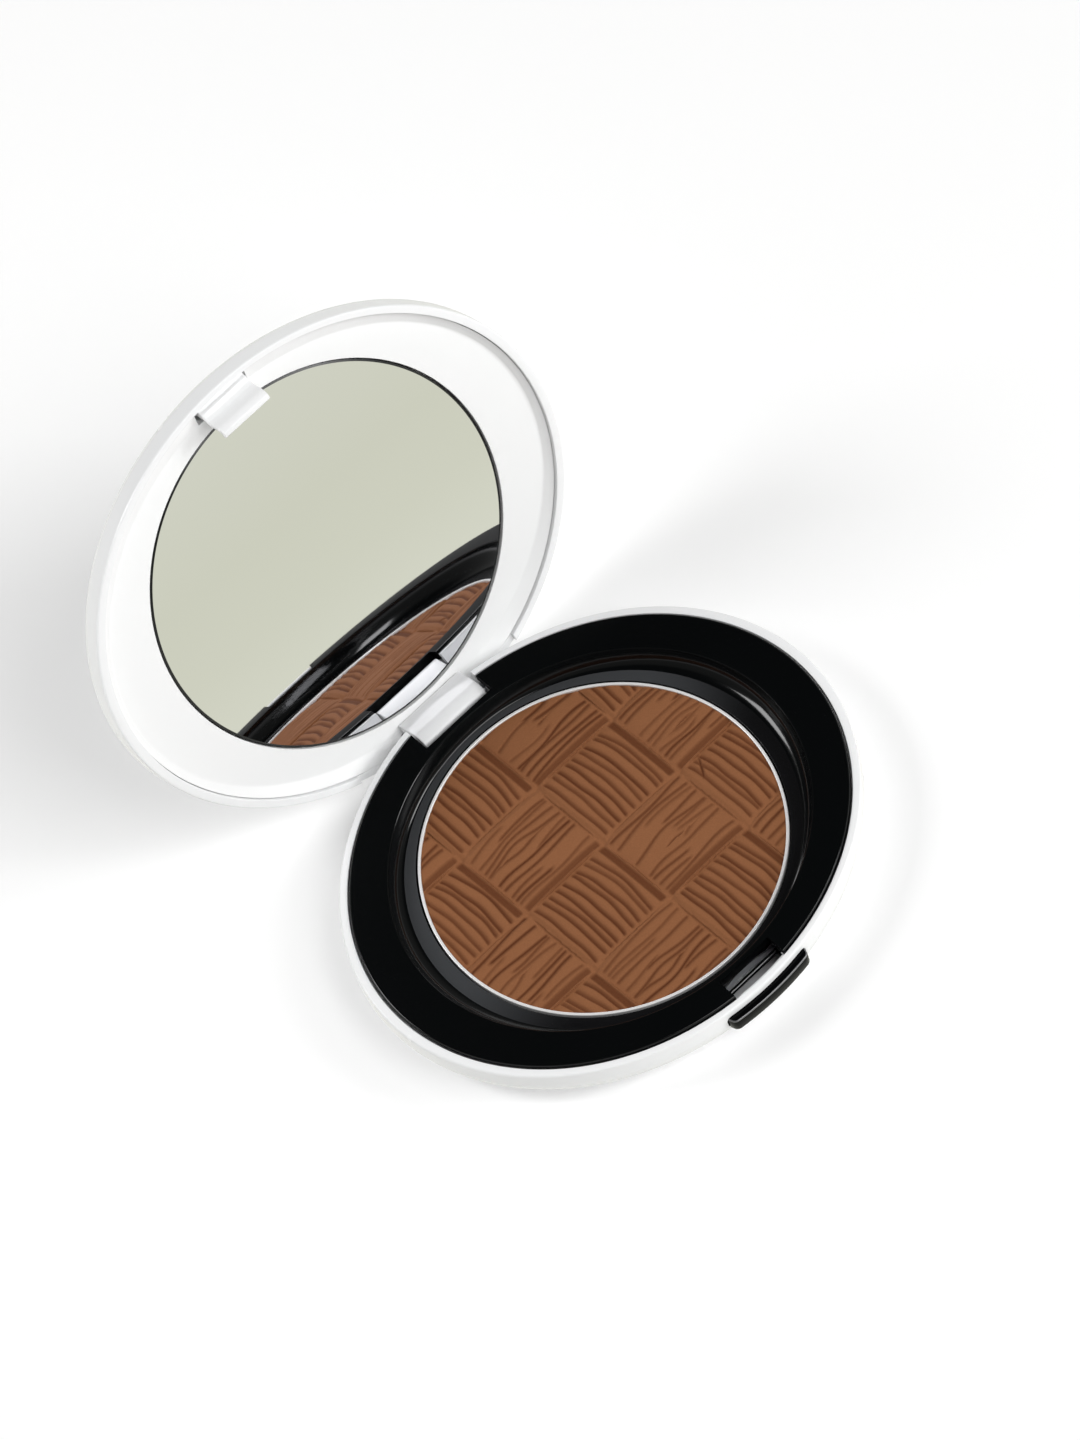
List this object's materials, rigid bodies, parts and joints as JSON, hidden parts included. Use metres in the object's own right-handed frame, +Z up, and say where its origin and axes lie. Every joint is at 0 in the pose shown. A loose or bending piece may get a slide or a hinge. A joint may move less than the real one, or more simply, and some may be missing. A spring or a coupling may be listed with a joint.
{
  "type": "powder compact",
  "caption": "Oval hinged powder compact with a round mirror in its lid, a round pan of pressed powder, a front push button and a sprung latch.",
  "frame": {"origin": "centre of the base's flat underside, where the compact rests", "axes": "+X along the hinge pin, +Y from the push button to the hinge, +Z up; the lid stands open 115 degrees at rest"},
  "size_m": [0.088, 0.1137, 0.0711],
  "materials": {
    "white_plastic": "gloss",
    "bezel_plastic": "satin",
    "black_tray": "satin deck and gloss bowl",
    "black_button": "gloss",
    "pan_metal": "bright",
    "powder": "matt pressed powder",
    "adhesive": "matt",
    "steel": "drawn",
    "mirror": "polished"
  },
  "bodies": {
    "base": {"base_shell": "white_plastic", "inner_tray": "black_tray", "pan_adhesive_disc": "adhesive", "powder_pan": "pan_metal", "pressed_powder": "powder", "hinge_pin": "steel", "button_spring": "steel"},
    "button": {"push_button": "black_button"},
    "lid": {"lid_shell": "white_plastic", "mirror_frame": "bezel_plastic", "mirror_glass": "mirror", "mirror_adhesive_pad": "adhesive"}
  },
  "joints": [
    {"name": "lid_hinge", "type": "hinge", "parent": "base", "child": "lid", "pos_m": [0, 0.0354, 0.0059], "axis": [1, 0, 0], "range_deg": [0, 115]},
    {"name": "button_slide", "type": "slide", "parent": "base", "child": "button", "axis": [0, 1, 0], "range_m": [0, 0.001], "stiffness_N_per_m": 1500, "springref_m": -0.0005, "deforming": ["button_spring"]}
  ]
}
